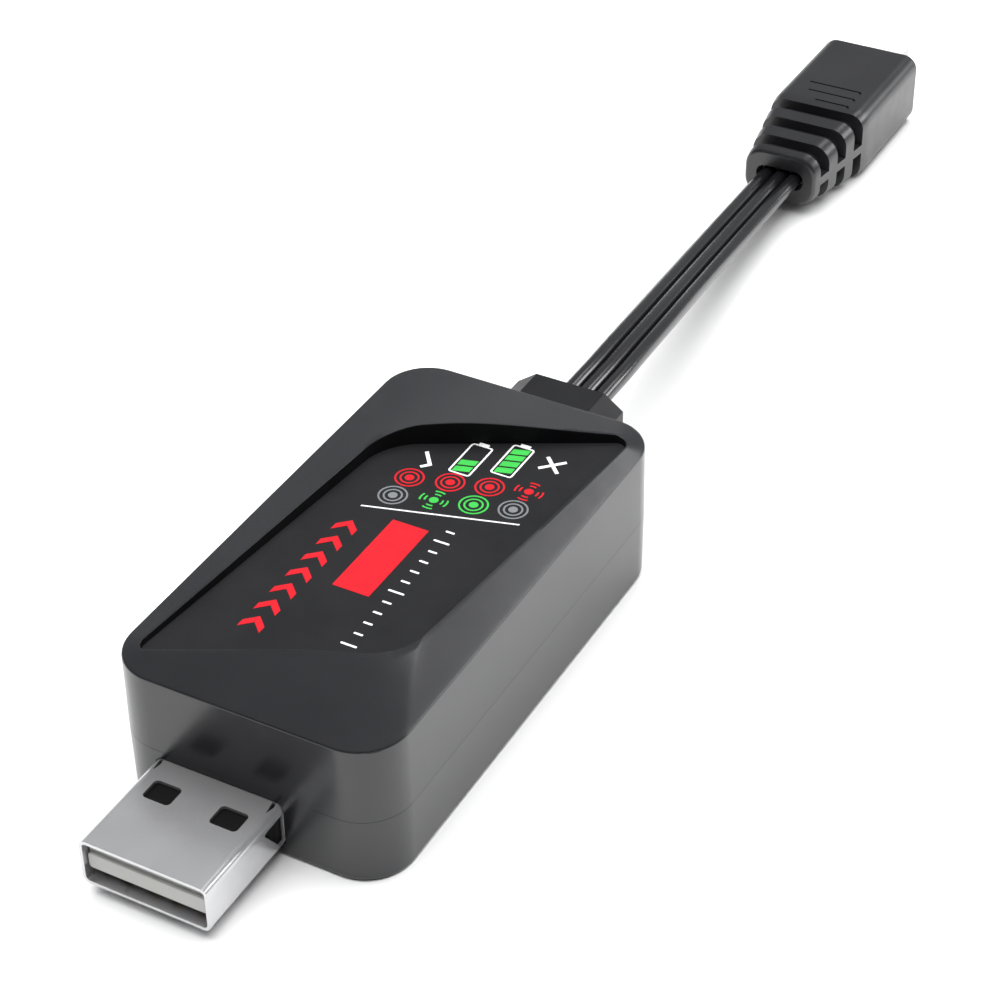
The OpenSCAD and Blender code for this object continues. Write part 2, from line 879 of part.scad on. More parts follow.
module connector_body() {
    color("#26282b")
    difference() {
        connector_outline(0);
        for (k = [0:slot_count - 1])
            difference() {
                block(
                    conn_x, conn_rear + first_slot + k * slot_pitch, -cut,
                    [conn_w + 2 * cut, slot_w, conn_h + 2 * cut]
                );
                connector_outline(slot_d);
                block(
                    conn_x, conn_rear, conn_z - web_h / 2, [conn_w + 4 * cut, conn_l, web_h]
                );
            }
        // Hollow that the wires go into
        along_y(conn_rear - cut, pocket_d + cut)
            translate([conn_x, conn_z]) round_rect(pocket_w, pocket_h, pocket_r);
        for (i = [0:2])
            translate([conn_x + wire_x(i), pocket_end - cut, conn_z])
                rotate([-90, 0, 0])
                    cylinder(h = nose_seat - pocket_end + 2 * cut, d = wire_d + 2 * wire_gap);
        // Seat for the nose
        along_y(nose_seat, conn_front - nose_seat + cut)
            translate([conn_x, conn_z]) square([nose_w, nose_h], center = true);
        // Three fine lines on the top
        for (k = [0:2])
            translate([mark_end - mark_lengths[k], mark_y + k * mark_pitch, conn_h - mark_d])
                cube([mark_lengths[k], mark_w, mark_d + cut]);
    }
}

module connector_nose() {
    color("#eceae4")
    difference() {
        along_y(nose_seat, conn_front + nose_reach - nose_seat)
            translate([conn_x, conn_z]) square([nose_w, nose_h], center = true);
        for (i = [0:2])
            block(
                conn_x + wire_x(i), socket_end, conn_z - socket_w / 2,
                [socket_w, socket_d + cut, socket_w]
            );
        for (i = [0:2])
            translate([conn_x + wire_x(i), nose_seat - cut, conn_z])
                rotate([-90, 0, 0])
                    cylinder(h = socket_end - nose_seat + 2 * cut, d = core_d);
    }
}

// Socket tubes at the bottom of the nose's square holes
module connector_contacts() {
    color("#d8b45a")
    for (i = [0:2])
        translate([conn_x + wire_x(i), 0, conn_z])
            along_y(socket_end, socket_tube_l)
                difference() {
                    square(socket_w, center = true);
                    circle(d = socket_bore);
                }
}

// Insulated wires inside the connector, with their cores in the nose
module connector_leads() {
    color("#1c1d1f")
    for (i = [0:2])
        translate([conn_x + wire_x(i), pocket_end, conn_z])
            rotate([-90, 0, 0]) {
                cylinder(h = nose_seat - pocket_end, d = wire_d);
                cylinder(h = socket_end - pocket_end, d = core_d);
            }
}

bottom_housing();
top_housing();
label();
usb_shell();
usb_insulator();
usb_contacts();
circuit_board();
charge_controller();
balance_controller();
controller_leads();
inductor_core();
inductor_coil();
bulk_capacitor();
rectifier_diodes();
balance_transistors();
bleed_resistors();
chip_resistors();
ceramic_capacitors();
red_status_led();
green_status_led();
led_leads();
cable_gland();
inner_wires();
wire_cores();
solder_joints();
cable_wire_left();
cable_wire_middle();
cable_wire_right();
connector_body();
connector_nose();
connector_contacts();
connector_leads();
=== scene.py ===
# Pocket USB balance charger for two-cell packs, seen on a pale studio floor.
# Millimetre sizes are turned into metres with mm(), because the frame is in metres.
import math

import bmesh
import bpy
from mathutils import Matrix, Vector


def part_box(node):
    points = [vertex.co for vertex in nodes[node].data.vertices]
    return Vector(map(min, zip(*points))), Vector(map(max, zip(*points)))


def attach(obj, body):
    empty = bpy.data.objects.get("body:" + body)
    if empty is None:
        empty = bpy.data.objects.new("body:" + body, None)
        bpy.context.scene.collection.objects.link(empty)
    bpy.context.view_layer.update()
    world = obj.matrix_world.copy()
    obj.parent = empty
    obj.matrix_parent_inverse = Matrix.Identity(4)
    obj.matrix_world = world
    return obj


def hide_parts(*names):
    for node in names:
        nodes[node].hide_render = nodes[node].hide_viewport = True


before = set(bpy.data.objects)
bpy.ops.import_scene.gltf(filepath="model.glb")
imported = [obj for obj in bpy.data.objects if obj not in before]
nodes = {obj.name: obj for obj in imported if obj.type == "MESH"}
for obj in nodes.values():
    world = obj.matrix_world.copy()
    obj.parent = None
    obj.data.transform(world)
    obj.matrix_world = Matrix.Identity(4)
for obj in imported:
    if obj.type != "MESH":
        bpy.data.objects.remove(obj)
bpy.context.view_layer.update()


# ---- camera ----
# A long lens looks down on the front right corner of the charger, close enough to show some
# perspective along the cable. It leans less than a degree.
def mm(*values):
    """Lengths in metres, from millimetres."""
    metres = tuple(v / 1000 for v in values)
    return metres[0] if len(metres) == 1 else Vector(metres)


camera_azimuth = math.radians(29.02)
camera_elevation = math.radians(36.94)
camera_lean = math.radians(-0.85)
camera_target = mm(0.58, 16.99, 7.0)
camera_distance = mm(229.14)
towards_camera = Vector((
    math.sin(camera_azimuth) * math.cos(camera_elevation),
    -math.cos(camera_azimuth) * math.cos(camera_elevation),
    math.sin(camera_elevation),
))
level_right = Vector((0, 0, 1)).cross(towards_camera).normalized()
level_up = towards_camera.cross(level_right)
right = level_right * math.cos(camera_lean) + level_up * math.sin(camera_lean)
up = level_up * math.cos(camera_lean) - level_right * math.sin(camera_lean)

lens = bpy.data.cameras.new("camera")
lens.lens = 91.57
lens.sensor_width = 36
lens.clip_start = mm(10)
camera = bpy.data.objects.new("camera", lens)
camera.matrix_world = Matrix((right, up, towards_camera)).transposed().to_4x4()
camera.location = camera_target + towards_camera * camera_distance
bpy.context.scene.collection.objects.link(camera)
bpy.context.scene.camera = camera


# ---- cable: three insulated wires side by side ----
# Each wire is stranded copper in a glossy black PVC jacket, and the three lie flat beside each
# other. They leave the gland level, sag to the table and run into the back of the connector.
def add_piece(name, data, material, body="root"):
    """Puts a mesh or curve in the scene on its body, with its material."""
    piece = bpy.data.objects.new(name, data)
    bpy.context.scene.collection.objects.link(piece)
    piece.data.materials.append(material)
    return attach(piece, body)


def new_material(name):
    """A material with its shader, and the node tree to add detail to."""
    material = bpy.data.materials.new(name)
    material.use_nodes = True
    tree = material.node_tree
    return material, tree, tree.nodes["Principled BSDF"]


def add_node(tree, kind, inputs=(), **settings):
    """A shader node with its settings, and its inputs set or linked."""
    node = tree.nodes.new(kind)
    for key, value in settings.items():
        setattr(node, key, value)
    for key, value in dict(inputs).items():
        if isinstance(value, bpy.types.NodeSocket):
            tree.links.new(value, node.inputs[key])
        else:
            node.inputs[key].default_value = value
    return node


def speckle(tree, size, detail=3.0, stretch=(1, 1, 1)):
    """Noise fixed to the piece, with lumps of about that size in metres."""
    place = add_node(tree, "ShaderNodeTexCoord")
    scaled = add_node(
        tree, "ShaderNodeMapping", {"Vector": place.outputs["Object"], "Scale": stretch}
    )
    noise = add_node(
        tree, "ShaderNodeTexNoise",
        {"Vector": scaled.outputs["Vector"], "Scale": 1 / size, "Detail": detail},
    )
    return noise.outputs["Fac"]


def spread(tree, value, low, high):
    """Noise turned into values from low to high."""
    return add_node(
        tree, "ShaderNodeMapRange",
        {"Value": value, "From Min": 0.3, "From Max": 0.7, "To Min": low, "To Max": high},
    ).outputs["Result"]


def shades(tree, value, dark, light):
    """Noise turned into colours between two shades."""
    ramp = add_node(tree, "ShaderNodeValToRGB", {"Fac": value})
    ramp.color_ramp.elements[0].position = 0.3
    ramp.color_ramp.elements[1].position = 0.7
    ramp.color_ramp.elements[0].color = (*dark, 1)
    ramp.color_ramp.elements[1].color = (*light, 1)
    return ramp.outputs["Color"]


def moulded(name, dark, light, rough, grain, depth, gloss=0.5, cloud=mm(6.0)):
    """Moulded plastic: a faint drift of shade, uneven gloss and a fine spark-eroded grain."""
    material, tree, shader = new_material(name)
    drift = speckle(tree, cloud)
    fine = speckle(tree, grain, 4)
    tree.links.new(shades(tree, drift, dark, light), shader.inputs["Base Color"])
    tree.links.new(spread(tree, speckle(tree, cloud / 3), *rough), shader.inputs["Roughness"])
    bump = add_node(tree, "ShaderNodeBump", {"Height": fine, "Strength": 0.35, "Distance": depth})
    tree.links.new(bump.outputs["Normal"], shader.inputs["Normal"])
    shader.inputs["Specular IOR Level"].default_value = gloss
    return material


wire_d = mm(1.55)
wire_pitch = mm(1.6)
cable_route = [
    mm(*point) for point in (
        (1.95, 28.1, 10.2), (1.95, 30, 10.2), (1.9, 33, 10.2), (1.9, 36, 10.1), (1.6, 40, 9.8),
        (1.2, 45, 9.2), (0.65, 50, 8.4), (0.05, 54.9, 7.55), (-0.55, 59.7, 6.65),
        (-1.1, 64.5, 5.85), (-1.55, 69.2, 5.15), (-1.9, 73.9, 4.65), (-2.1, 78.7, 4.3),
        (-2.2, 81.6, 4.15), (-2.2, 84.5, 4.1), (-2.2, 86.2, 4.1), (-2.2, 87.8, 4.1),
    )
]
wire_jacket = moulded(
    "wire_jacket", (0.006, 0.006, 0.007), (0.009, 0.009, 0.010),
    (0.22, 0.25), mm(1.2), mm(0.0002), 0.9,
)


def cable_wire(name, route):
    """One round wire along its route, as a smooth curve."""
    line = bpy.data.curves.new(name, "CURVE")
    line.dimensions = "3D"
    line.bevel_depth = wire_d / 2
    line.bevel_resolution = 8
    line.resolution_u = 8
    line.use_fill_caps = True
    spline = line.splines.new("NURBS")
    spline.points.add(len(route) - 1)
    for knot, place in zip(spline.points, route):
        knot.co = (*place, 1)
    spline.order_u = 4
    spline.use_endpoint_u = True
    return add_piece(name, line, wire_jacket)


cable_wires, cable_exits = {}, {}
for index, side in enumerate(("left", "middle", "right")):
    offset = Vector(((index - 1) * wire_pitch, 0, 0))
    wire = cable_wire(f"wire_{side}", [place + offset for place in cable_route])
    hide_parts(f"cable_wire_{side}")
    cable_wires[side], cable_exits[side] = wire, cable_route[0] + offset


# ---- bottom shell ----
# The lower half of the housing is a black ABS tray with a finely textured, satin outside. Its
# walls lean in slightly towards the floor so that it leaves the mould, and its lip fits inside
# the top shell, where it is welded. The front wall has the mouth for the USB plug.
def outline(corners, radii, arc_steps=12, side_steps=16):
    """Points anticlockwise round a polygon with round corners, always as many."""
    arcs = []
    for i, (corner, radius) in enumerate(zip(corners, radii)):
        before = (corner - corners[i - 1]).normalized()
        after = (corners[(i + 1) % len(corners)] - corner).normalized()
        turn = before.angle_signed(after) * -1
        start = corner - before * radius * math.tan(turn / 2)
        centre = start + Vector((-before.y, before.x)) * radius
        arcs.append([
            centre + Matrix.Rotation(turn * k / arc_steps, 2) @ (start - centre)
            for k in range(arc_steps + 1)
        ])
    points = []
    for i, arc in enumerate(arcs):
        end, follow = arc[-1], arcs[(i + 1) % len(arcs)][0]
        points += arc + [end.lerp(follow, k / side_steps) for k in range(1, side_steps)]
    return points


def rectangle(width, length, radius, **steps):
    """A rectangle with round corners about the middle, starting at the front left."""
    x, y = width / 2, length / 2
    corners = [Vector(p) for p in ((-x, -y), (x, -y), (x, y), (-x, y))]
    return outline(corners, [radius] * 4, **steps)


def at_height(points, z):
    """An outline at one height, or at a height for each point."""
    heights = z if isinstance(z, list) else [z] * len(points)
    return [Vector((p.x, p.y, h)) for p, h in zip(points, heights)]


def loft(work, loops, closed=False):
    """Joins loops of points into a skin: capped at both ends, or running round to the first."""
    rows = [[work.verts.new(point) for point in loop] for loop in loops]
    for low, high in zip(rows, rows[1:] + rows[:1] if closed else rows[1:]):
        for i in range(len(low)):
            j = (i + 1) % len(low)
            work.faces.new((low[i], low[j], high[j], high[i]))
    if not closed:
        work.faces.new(reversed(rows[0]))
        work.faces.new(rows[-1])


def mesh_of(name, *skins, closed=False):
    """A mesh from one or more sets of loops, with its faces turned outwards."""
    work = bmesh.new()
    for loops in skins:
        loft(work, loops, closed)
    bmesh.ops.recalc_face_normals(work, faces=work.faces)
    mesh = bpy.data.meshes.new(name)
    work.to_mesh(mesh)
    work.free()
    return mesh


def cut_out(mesh, *cutters):
    """The mesh with other meshes cut out of it."""
    body = bpy.data.objects.new("body", mesh)
    tools = [bpy.data.objects.new("cutter", cutter) for cutter in cutters]
    for each in [body, *tools]:
        bpy.context.scene.collection.objects.link(each)
    for tool in tools:
        modifier = body.modifiers.new("cut", "BOOLEAN")
        modifier.object = tool
        modifier.solver = "EXACT"
    view = bpy.context.evaluated_depsgraph_get()
    done = bpy.data.meshes.new_from_object(body.evaluated_get(view))
    for each in [body, *tools]:
        bpy.data.objects.remove(each)
    done.name = mesh.name
    done.materials.clear()
    return done


def smoothed(piece, bevel=0.0, angle=35, steps=2):
    """Rounds sharp edges and shades flat faces flat and round ones smooth."""
    if bevel:
        edge = piece.modifiers.new("edges", "BEVEL")
        edge.width = bevel
        edge.segments = steps
        edge.limit_method = "ANGLE"
        edge.angle_limit = math.radians(angle)
        edge.miter_outer = "MITER_ARC"
    piece.data.shade_smooth()
    piece.data.set_sharp_from_angle(angle=math.radians(angle))
    normals = piece.modifiers.new("normals", "WEIGHTED_NORMAL")
    normals.keep_sharp = True
    normals.weight = 80
    return piece


def prism(name, points, start, reach, along):
    """A straight prism of an outline drawn across the axis x, y or z, starting there."""
    place = {
        "x": lambda p, d: Vector((d, p.x, p.y)),
        "y": lambda p, d: Vector((p.x, d, p.y)),
        "z": lambda p, d: Vector((p.x, p.y, d)),
    }[along]
    return mesh_of(name, [[place(p, d) for p in points] for d in (start, start + reach)])


def moved(points, x, y):
    """An outline moved over."""
    return [p + Vector((x, y)) for p in points]


shell_low, shell_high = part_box("bottom_housing")
housing_w = shell_high.x - shell_low.x
housing_l = shell_high.y - shell_low.y
housing_corner = mm(4.4)
housing_wall = mm(1.4)
seam_z = mm(6.5)
floor_t = mm(1.2)
lip_top = mm(7.5)
lip_inset = mm(0.77)
wall_lean = mm(0.07)
foot_round = mm(0.45)
plug_low, plug_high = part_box("usb_shell")
plug_x = (plug_low.x + plug_high.x) / 2
plug_z = mm(3.45)
plug_w = plug_high.x - plug_low.x
plug_h = mm(4.5)
plug_round = mm(0.7)
plug_gap = mm(0.1)


def housing_outline(inset):
    """The housing's outside, seen from above, moved inwards."""
    radius = max(housing_corner - inset, mm(0.3))
    return rectangle(housing_w - 2 * inset, housing_l - 2 * inset, radius, side_steps=20)


def housing_loop(inset, z):
    return at_height(housing_outline(inset), z)


black_shell = moulded(
    "black_shell", (0.0125, 0.0127, 0.0145), (0.0150, 0.0153, 0.0172),
    (0.22, 0.25), mm(0.16), mm(0.003), 0.62,
)
foot_arc = [math.radians(18 * k) for k in range(6)]
bottom_loops = [
    housing_loop(housing_wall, floor_t), housing_loop(housing_wall, lip_top),
    housing_loop(lip_inset, lip_top), housing_loop(lip_inset, seam_z),
    housing_loop(mm(0.015), seam_z), housing_loop(0, seam_z - mm(0.02)),
    *[
        housing_loop(wall_lean + foot_round * (1 - math.cos(a)), foot_round * (1 - math.sin(a)))
        for a in foot_arc
    ],
]
mouth = rectangle(plug_w + 2 * plug_gap, plug_h + 2 * plug_gap, plug_round + plug_gap)
plug_mouth = prism(
    "plug_mouth", moved(mouth, plug_x, plug_z),
    shell_low.y - mm(1), mm(1) + housing_wall + mm(0.5), "y",
)
bottom_shell = add_piece(
    "bottom_shell", cut_out(mesh_of("bottom_shell", bottom_loops), plug_mouth), black_shell
)
smoothed(bottom_shell)
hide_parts("bottom_housing")


# ---- top shell ----
# The upper half is the same black ABS. Its broad rim rises from the outer edge towards the label
# recess. The recess wall is matt, and its colour is painted darker than the rim as painted shade in
# the recess. Two of the recess corners are tight and two wide. The left wall has the two holes for
# the status lights and the back wall the way out for the cable gland.
shoulder_z = mm(13.8)
rim_slope = 0.25
shoulder_round = mm(0.22)
recess_z = mm(13.55)
ceiling_z = mm(12.35)
recess_edge_round = mm(0.07)
recess_corners = [
    Vector(mm(*p, 0).xy) for p in ((-11.3, -22.4), (8.5, -14.5), (11.4, 22), (-8, 11.7))
]
recess_radii = [mm(r) for r in (0.9, 6, 0.9, 6)]


def grown(corners, d):
    """The corners of an outline moved outwards."""
    made = []
    for i, corner in enumerate(corners):
        before = (corner - corners[i - 1]).normalized()
        after = (corners[(i + 1) % len(corners)] - corner).normalized()
        a, b = Vector((before.y, -before.x)), Vector((after.y, -after.x))
        made.append(corner + (a + b) * d / (1 + a.dot(b)))
    return made


def recess_outline(growth):
    """The edge of the label recess, grown outwards."""
    radii = [r + growth for r in recess_radii]
    return outline(grown(recess_corners, growth), radii, side_steps=20)


def rim_rise(point):
    """How far the rim has risen at a point, by its distance from the outer edge."""
    across = abs(point.x) - (housing_w / 2 - housing_corner)
    along = abs(point.y) - (housing_l / 2 - housing_corner)
    reach = math.hypot(across, along) if min(across, along) > 0 else max(across, along)
    return rim_slope * (housing_corner - reach)


def averaged(values, reach):
    """A closed row of values smoothed over their neighbours on both sides."""
    count = len(values)
    return [
        sum(values[(i + k) % count] for k in range(-reach, reach + 1)) / (2 * reach + 1)
        for i in range(count)
    ]


slant = math.atan(rim_slope)
round_centre = shoulder_z + shoulder_round * (rim_slope - math.sqrt(1 + rim_slope ** 2))
shoulder_arc = [math.radians(180) + (slant - math.radians(90)) * k / 6 for k in range(7)]
shoulder_loops = [
    housing_loop(
        wall_lean + shoulder_round * (1 + math.cos(a)), round_centre + shoulder_round * math.sin(a)
    )
    for a in shoulder_arc
]
recess_rise = averaged(averaged([rim_rise(p) for p in recess_outline(0)], 4), 4)
recess_heights = [shoulder_z + rise for rise in recess_rise]
rim_end = at_height(recess_outline(recess_edge_round), recess_heights)
rim_rows = 10
rim_loops = [
    [a.lerp(b, k / rim_rows) for a, b in zip(shoulder_loops[-1], rim_end)]
    for k in range(1, rim_rows + 1)
]
edge_loops = [
    at_height(
        recess_outline(recess_edge_round * (1 - math.sin(a))),
        [h - recess_edge_round * (1 - math.cos(a)) for h in recess_heights],
    )
    for a in (math.radians(30), math.radians(60), math.radians(90))
]
seam_groove = mm(0.015)
lip_gap = mm(0.05)
top_loops = [
    housing_loop(housing_wall, ceiling_z), housing_loop(housing_wall, lip_top + lip_gap),
    housing_loop(lip_inset - lip_gap, lip_top + lip_gap), housing_loop(lip_inset - lip_gap, seam_z),
    housing_loop(seam_groove, seam_z), housing_loop(seam_groove, seam_z + seam_groove / 2),
    housing_loop(0, seam_z + seam_groove),
    *shoulder_loops, *rim_loops, *edge_loops, at_height(recess_outline(0), recess_z),
]
light_places = [mm(5), mm(11)]
light_z = mm(9.3)
light_hole_r = mm(1.6)


def disc(radius, count=32):
    """A circle, as an outline."""
    angles = [2 * math.pi * k / count for k in range(count)]
    return [Vector((math.cos(a), math.sin(a))) * radius for a in angles]


light_holes = [
    prism("light_hole", moved(disc(light_hole_r), y, light_z), shell_low.x - mm(1), mm(3), "x")
    for y in light_places
]
gland_x = mm(1.95)
gland_z = mm(10.2)
neck_way_w, neck_way_h, neck_way_z = mm(7.6), mm(8), mm(8.2)
neck_way = prism(
    "neck_way", moved(rectangle(neck_way_w, neck_way_h, mm(0.2)), gland_x, neck_way_z),
    shell_high.y - housing_wall - mm(0.5), mm(3), "y",
)
top_shell = add_piece(
    "top_shell", cut_out(mesh_of("top_shell", top_loops), *light_holes, neck_way), black_shell
)
# Recess wall: a matt finish, with a colour darker than the shell's that is painted shade.
recess_matt_shade = moulded(
    "recess_matt_shade", (0.006, 0.006, 0.007), (0.009, 0.009, 0.010),
    (0.7, 0.8), mm(0.12), mm(0.004), 0.1,
)
top_shell.data.materials.append(recess_matt_shade)
# Upright faces inside the top of the shell get the darker wall material, which is painted shade.
steep = 0.3
for face in top_shell.data.polygons:
    middle, upright = face.center, abs(face.normal.z) < steep
    within_x = abs(middle.x) < housing_w / 2 - mm(1)
    within_y = abs(middle.y) < housing_l / 2 - mm(1)
    if within_x and within_y and middle.z > recess_z and upright:
        face.material_index = 1
smoothed(top_shell)
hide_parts("top_housing")


# ---- label ----
# The label is a matt black polyester film stuck to the floor of the recess. It is printed with
# thin ink in four colours: signs for the lights, two batteries, a tick, a cross, a ruled line, a
# plain scale, a red bar and a row of arrow heads.
label_film = moulded(
    "label_film", (0.0105, 0.0105, 0.0112), (0.0135, 0.0135, 0.0145),
    (0.52, 0.62), mm(0.08), mm(0.003), 0.35,
)


def carried(name, material):
    """A part kept as the frame has it, with its own material."""
    nodes[name].data.materials.clear()
    nodes[name].data.materials.append(material)
    return nodes[name]


carried("label", label_film)
ink_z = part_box("label")[1].z
ink_t = mm(0.02)


def ink(name, colour, shapes):
    """One colour of ink: filled outlines, and bands between an outer and an inner outline."""
    work = bmesh.new()
    for outer, inner in shapes:
        loops = [at_height(outer, ink_z), at_height(outer, ink_z + ink_t)]
        if inner:
            loops += [at_height(inner, ink_z + ink_t), at_height(inner, ink_z)]
        loft(work, loops, closed=bool(inner))
    bmesh.ops.recalc_face_normals(work, faces=work.faces)
    mesh = bpy.data.meshes.new(name)
    work.to_mesh(mesh)
    work.free()
    dull = tuple(c * 0.86 for c in colour)
    material = moulded(name, dull, colour, (0.5, 0.6), mm(0.1), mm(0.002), 0.2, mm(1.5))
    piece = add_piece(name, mesh, material)
    return piece


def spot(place, radius):
    """A filled circle."""
    return moved(disc(radius), *place), None


def hoop(place, radius, width):
    """A ring, by its outer radius."""
    return moved(disc(radius), *place), moved(disc(radius - width), *place)


def arc_band(place, radius, width, middle, sweep):
    """A short piece of a hoop, about a direction."""
    angles = [middle + sweep * (k / 8 - 0.5) for k in range(9)]
    outer = [Vector((math.cos(a), math.sin(a))) * radius for a in angles]
    inner = [p * (1 - width / radius) for p in reversed(outer)]
    return moved(outer + inner, *place), None


def bar(x, y, width, length, radius=mm(0.08)):
    """A bar by its middle, with slightly round corners."""
    return moved(rectangle(width, length, radius, arc_steps=3, side_steps=1), x, y), None


def slanted(points, lean):
    """An outline sheared upwards to the right."""
    return [Vector((p.x, p.y + lean * p.x)) for p in points]


line_w = mm(0.17)
row_lean = 0.292
column_xs = [mm(x) for x in (-3.53, -0.05, 3.3, 6.62)]
upper_row_y = mm(9.32)
lower_row_y = mm(6.45)


def light_sign(column, row_y, blinking=False):
    """A dot with two rings about it, or with short arcs for a blinking light."""
    place = (column_xs[column], row_y + row_lean * column_xs[column])
    dot = spot(place, mm(0.42))
    if not blinking:
        return [dot, hoop(place, mm(0.88), line_w), hoop(place, mm(1.33), line_w)]
    quarter = math.pi / 2
    arc_sweep = math.radians(44)
    return [dot] + [
        arc_band(place, radius, line_w, quarter * k, arc_sweep)
        for radius in (mm(0.9), mm(1.33)) for k in range(4)
    ]


def battery_frame(x, y):
    """A battery picture by the middle of its lower end: its frame and its terminal."""
    wide, high = mm(2.15), mm(4.65)
    middle = (x, y + high / 2)
    steps = {"arc_steps": 4, "side_steps": 1}
    inner = rectangle(wide - 2 * line_w, high - 2 * line_w, mm(0.15), **steps)
    frame_line = moved(rectangle(wide, high, mm(0.3), **steps), *middle), moved(inner, *middle)
    return [frame_line, bar(x, y + high + line_w, mm(1), mm(0.35))]


def battery_bars(x, y, count):
    """The slanting bars inside a battery picture, from its lower end."""
    step, first = mm(1), mm(0.82)
    level = slanted(rectangle(mm(1.5), mm(0.78), mm(0.05), arc_steps=2, side_steps=1), 0.3)
    return [(moved(level, x, y + first + step * k), None) for k in range(count)]


def stroke(start, end, width=mm(0.34)):
    """A straight thick line between two points."""
    along = (end - start).normalized() * width / 2
    side = Vector((-along.y, along.x))
    start, end = start - along, end + along
    return [start - side, end - side, end + side, start + side], None


def bent(points, width=mm(0.34)):
    """A thick line with one bend."""
    first, knee, last = points
    a, b = (knee - first).normalized(), (last - knee).normalized()
    side_a, side_b = Vector((-a.y, a.x)) * width / 2, Vector((-b.y, b.x)) * width / 2
    corner = (side_a + side_b) / (1 + a.dot(b))
    return [
        first + side_a, knee + corner, last + side_b, last - side_b, knee - corner, first - side_a
    ], None


def arrow_head(x, y):
    """A plain arrow head that points along the cable."""
    reach, half, thick = mm(1), mm(1.05), mm(0.85)
    tip = [(-half, 0), (0, reach), (half, 0), (half, thick), (0, reach + thick), (-half, thick)]
    return [Vector((x + a, y + b)) for a, b in tip], None


batteries = [(mm(-0.08), mm(10.7), 2), (mm(3.26), mm(12.2), 4)]
rule = [Vector(mm(x, y, 0).xy) for x, y in ((-5.2, 2.8), (8.1, 6.66), (8.1, 6.84), (-5.2, 2.98))]
tick_mark = bent([Vector(mm(x, y, 0).xy) for x, y in ((-3.5, 10.1), (-2.9, 10.75), (-4.1, 12.3))])
cross_x, cross_y = 6.64, 15.6
cross_ends = ((-0.8, -0.8, 0.8, 0.8), (-0.8, 0.8, -0.25, 0.25), (0.25, -0.25, 0.8, -0.8))
cross_marks = [
    stroke(
        Vector(mm(cross_x + a, cross_y + b, 0).xy), Vector(mm(cross_x + c, cross_y + d, 0).xy)
    )
    for a, b, c, d in cross_ends
]
long_mark, short_mark, long_every = mm(1.5), mm(0.85), 5
scale_marks = [
    bar(mm(3.45), mm(-13.4 + 1.5 * k), short_mark if k % long_every else long_mark, mm(0.22))
    for k in range(12)
]
ink("print_white", (0.72, 0.72, 0.72), [
    *[shape for x, y, _ in batteries for shape in battery_frame(x, y)],
    (rule, None), tick_mark, *cross_marks, *scale_marks,
])
ink("print_red", (0.50, 0.012, 0.020), [
    *light_sign(0, upper_row_y), *light_sign(1, upper_row_y), *light_sign(2, upper_row_y),
    *light_sign(3, upper_row_y, blinking=True),
    bar(0, mm(-2.5), mm(3.5), mm(9.9)),
    *[arrow_head(mm(-4.75), mm(y)) for y in (-15.5, -13.1, -10.7, -8.3, -5.9, -3.5, -1.1)],
])
ink("print_green", (0.045, 0.42, 0.065), [
    *light_sign(1, lower_row_y, blinking=True), *light_sign(2, lower_row_y),
    *[shape for x, y, count in batteries for shape in battery_bars(x, y, count)],
])
ink("print_grey", (0.16, 0.17, 0.18), [*light_sign(0, lower_row_y), *light_sign(3, lower_row_y)])


# ---- USB plug: steel shell ----
# The shell is nickel-plated steel strip, stamped with four windows and folded into a flat tube.
# Beside the housing it has two pointed slits and a slanting notch in each side. Two legs go
# through the board and are soldered there.
def metal(name, dark, light, rough, grain, stretch=(1, 1, 1), metallic=1.0, depth=mm(0.0006)):
    """Bare metal with fine lines or grain in its gloss."""
    material, tree, shader = new_material(name)
    fine = speckle(tree, grain, 3, stretch)
    tree.links.new(shades(tree, speckle(tree, mm(2.5)), dark, light), shader.inputs["Base Color"])
    tree.links.new(spread(tree, fine, *rough), shader.inputs["Roughness"])
    bump = add_node(tree, "ShaderNodeBump", {"Height": fine, "Strength": 0.15, "Distance": depth})
    tree.links.new(bump.outputs["Normal"], shader.inputs["Normal"])
    shader.inputs["Metallic"].default_value = metallic
    return material


plug_steel = metal(
    "plug_steel", (0.56, 0.56, 0.57), (0.60, 0.60, 0.61), (0.22, 0.26), mm(0.3), (1, 0.1, 1), 0.74,
    mm(0.00005),
)
plug_sheet = mm(0.3)
plug_front = plug_low.y
window_size = mm(2.6), mm(2.15)
window_y = plug_front + mm(7.4)


def plug_loop(inset, y):
    """The plug's outline across its length, moved inwards."""
    ring = rectangle(
        plug_w - 2 * inset, plug_h - 2 * inset, plug_round - inset, arc_steps=6, side_steps=8
    )
    return [Vector((p.x, y, p.y)) for p in moved(ring, plug_x, plug_z)]


